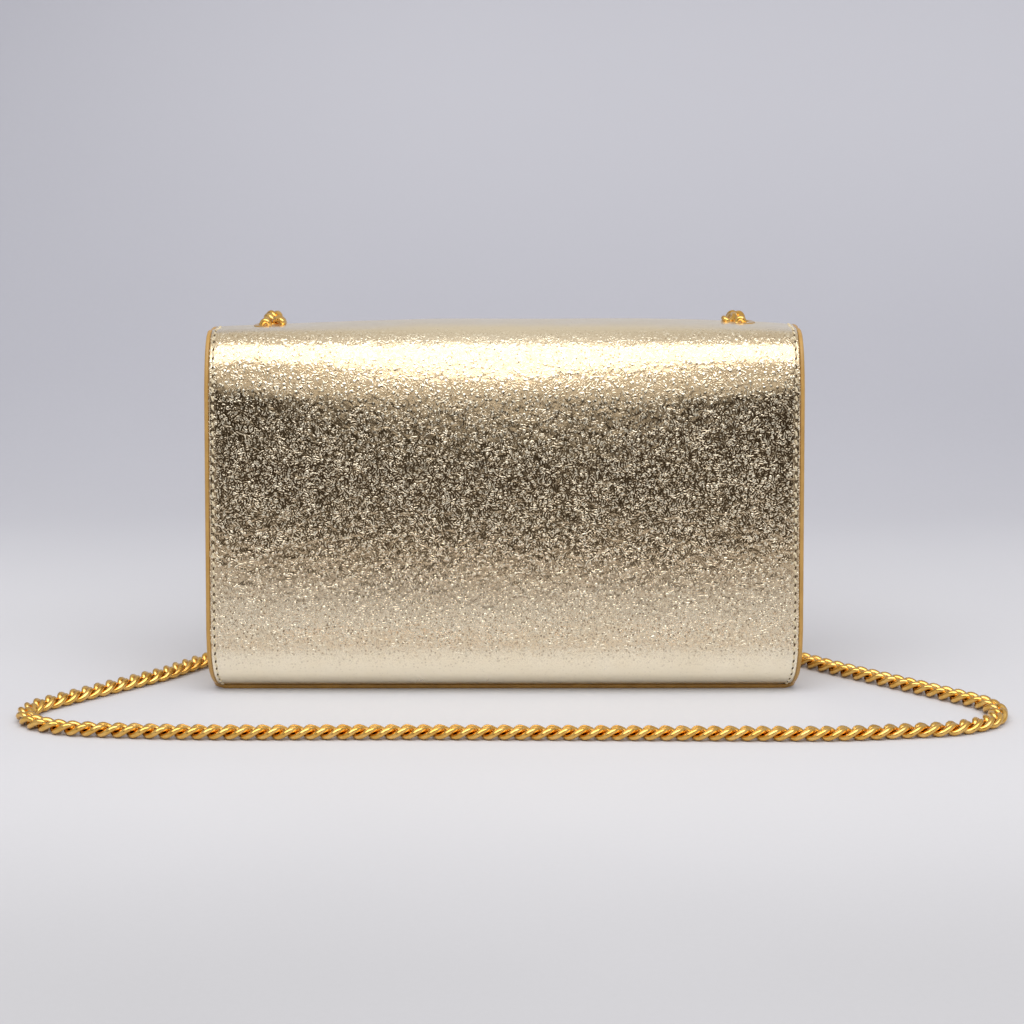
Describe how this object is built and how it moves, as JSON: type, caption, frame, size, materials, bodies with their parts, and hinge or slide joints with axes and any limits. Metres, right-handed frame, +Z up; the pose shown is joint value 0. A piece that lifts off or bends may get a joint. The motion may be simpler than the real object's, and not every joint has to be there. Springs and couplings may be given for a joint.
{
  "type": "evening bag",
  "caption": "Rectangular evening bag of grained metallic leather, with a rolled top, a fold-over flap, folded gussets and a curb-chain shoulder strap from two eyelets.",
  "frame": {"origin": "middle of the bag's base, on the surface it stands on, without the strap", "axes": "+Z up, back of the bag towards -Y, flap towards +Y, +X to the right seen from the back"},
  "size_m": [0.3843, 0.1218, 0.1531],
  "materials": {
    "gold_leather": "pale gold metallic foil, fine vermicular grain, painted edges",
    "suede_lining": "matt microsuede",
    "fibre_board": "bare fibre stiffener",
    "plated_brass": "polished yellow-gold plating",
    "snap_metal": "plated magnetic snap"
  },
  "bodies": {
    "root": {"back_wrap": "gold_leather", "front_panel": "gold_leather", "gusset_left": "gold_leather", "gusset_right": "gold_leather", "gusset_lining_left": "suede_lining", "gusset_lining_right": "suede_lining", "body_lining": "suede_lining", "back_board": "fibre_board", "front_board": "fibre_board", "base_board": "fibre_board", "slip_pocket": "suede_lining", "snap_socket": "snap_metal", "snap_socket_washer": "snap_metal", "eyelet_left": "plated_brass", "eyelet_right": "plated_brass", "eyelet_washer_left": "plated_brass", "eyelet_washer_right": "plated_brass", "anchor_bar_left": "plated_brass", "anchor_bar_right": "plated_brass", "drop_link_left": "plated_brass", "drop_link_right": "plated_brass", "top_link_left": "plated_brass", "top_link_right": "plated_brass", "chain_strap": "plated_brass"},
    "flap": {"flap_leather": "gold_leather", "flap_board": "fibre_board", "flap_lining": "suede_lining", "snap_stud": "snap_metal", "snap_stud_washer": "snap_metal"}
  },
  "joints": [
    {"name": "flap_fold", "type": "hinge", "parent": "root", "child": "flap", "pos_m": [0, 0.01158, 0.14742], "axis": [1, 0, 0], "range_deg": [0, 165]}
  ]
}
